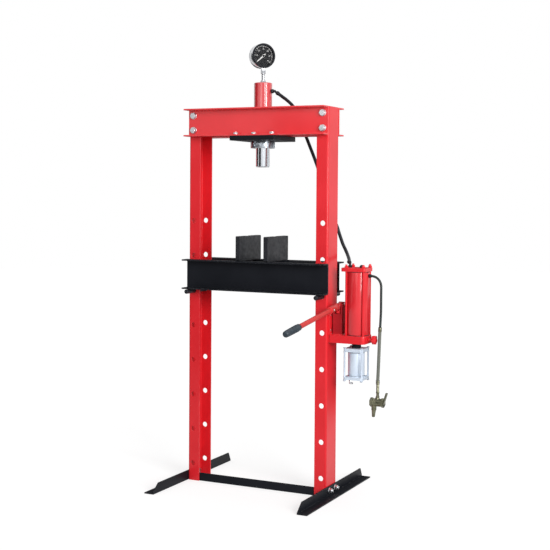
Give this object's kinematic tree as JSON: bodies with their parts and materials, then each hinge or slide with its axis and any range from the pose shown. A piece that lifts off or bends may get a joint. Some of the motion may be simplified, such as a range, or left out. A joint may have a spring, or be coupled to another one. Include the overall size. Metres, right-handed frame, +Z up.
{
  "type": "hydraulic press",
  "caption": "H-frame workshop press: red channel columns and head, black bed, hydraulic cylinder with gauge, and an air-over-hydraulic pump with a hand lever on one side.",
  "frame": {"origin": "on the floor, midway between the two columns and midway between their front and rear faces", "axes": "+X to the right towards the pump, +Y to the rear, +Z up; the lever points to the front, along -Y"},
  "size_m": [0.938, 0.8678, 1.876],
  "materials": {
    "red_paint": "glossy red enamel",
    "black_paint": "satin black paint",
    "plate_steel": "dark, lightly oiled steel",
    "zinc": "bright zinc plating",
    "bright_steel": "ground steel",
    "chrome": "hard chrome",
    "spring_steel": "drawn spring steel",
    "bronze": "turned bronze",
    "brass": "dull cast brass",
    "aluminium": "satin aluminium",
    "gauge_steel": "brushed stainless steel",
    "dial_black": "matt black dial with pale marks",
    "pointer_white": "white",
    "clear_glass": "clear",
    "black_rubber": "smooth black rubber",
    "braid": "woven grey-green cover",
    "grip_plastic": "ribbed black rubber"
  },
  "bodies": {
    "frame": {"column_left": "red_paint", "column_right": "red_paint", "head_front": "red_paint", "head_rear": "red_paint", "head_bolts": "zinc", "head_nuts": "zinc", "foot_left": "black_paint", "foot_right": "black_paint", "foot_bolts": "zinc", "foot_nuts": "zinc", "crossbar": "black_paint", "ram_plate": "black_paint", "ram_plate_bolts": "zinc", "barrel": "red_paint", "ring_nut": "bright_steel", "gland": "bronze", "return_spring": "spring_steel", "gauge_adapter": "bright_steel", "gauge_case": "gauge_steel", "gauge_bezel": "black_paint", "gauge_dial": "dial_black", "gauge_glass": "clear_glass", "cylinder_fitting": "plate_steel", "hydraulic_hose": "black_rubber", "pump_fitting": "plate_steel", "pump_bracket": "red_paint", "bracket_bolts": "zinc", "pump_base": "red_paint", "tank": "red_paint", "tank_cap": "red_paint", "tie_rods": "red_paint", "tank_plug": "plate_steel", "plunger_block": "red_paint", "fulcrum_pin": "bright_steel", "motor_neck": "black_paint", "motor_top": "aluminium", "motor_barrel": "aluminium", "motor_bottom": "aluminium", "motor_rods": "zinc", "motor_drain": "bright_steel", "air_outlet": "plate_steel", "air_hose": "black_rubber", "air_joint": "brass", "air_hose_braided": "braid", "air_valve": "brass"},
    "bed": {"bed_front": "black_paint", "bed_rear": "black_paint", "bed_spacers": "black_paint", "arbor_plate_left": "plate_steel", "arbor_plate_right": "plate_steel"},
    "ram": {"ram": "chrome", "piston_seal": "black_rubber"},
    "bed_pin_left": {"bed_pin_left": "plate_steel"},
    "bed_pin_right": {"bed_pin_right": "plate_steel"},
    "pointer": {"gauge_pointer": "pointer_white"},
    "lever": {"lever": "red_paint", "lever_grip": "grip_plastic"},
    "plunger": {"plunger": "red_paint"},
    "release_valve": {"release_valve": "red_paint"},
    "motor_piston": {"motor_piston": "aluminium"}
  },
  "joints": [
    {"name": "ram_slide", "type": "slide", "parent": "frame", "child": "ram", "axis": [0, 0, -1], "range_m": [0, 0.15], "stiffness_N_per_m": 600, "springref_m": -0.15, "deforming": ["return_spring"]},
    {"name": "bed_lift", "type": "slide", "parent": "frame", "child": "bed", "axis": [0, 0, 1], "range_m": [0, 0.13]},
    {"name": "bed_pin_left_pull", "type": "slide", "parent": "frame", "child": "bed_pin_left", "axis": [0, -1, 0], "range_m": [0, 0.24]},
    {"name": "bed_pin_right_pull", "type": "slide", "parent": "frame", "child": "bed_pin_right", "axis": [0, -1, 0], "range_m": [0, 0.24]},
    {"name": "gauge_needle", "type": "hinge", "parent": "frame", "child": "pointer", "pos_m": [0, 0, 1.824], "axis": [-0.766, 0.6428, 0], "range_deg": [0, 264], "stiffness_Nm_per_rad": 0.002, "springref_deg": -5.73},
    {"name": "pump_lever", "type": "hinge", "parent": "frame", "child": "lever", "pos_m": [0.358, 0.022, 0.791], "axis": [-1, 0, 0], "range_deg": [0, 35]},
    {"name": "plunger_slide", "type": "slide", "parent": "frame", "child": "plunger", "axis": [0, 0, 1], "range_m": [0, 0.0205]},
    {"name": "release_knob", "type": "hinge", "parent": "frame", "child": "release_valve", "pos_m": [0.484, 0, 0.6535], "axis": [1, 0, 0], "range_deg": [0, 270]},
    {"name": "motor_stroke", "type": "slide", "parent": "frame", "child": "motor_piston", "axis": [0, 0, 1], "range_m": [0, 0.06]}
  ],
  "couplings": [
    {"joint": "plunger_slide", "follows": "pump_lever", "m_per_rad": 0.0333}
  ]
}
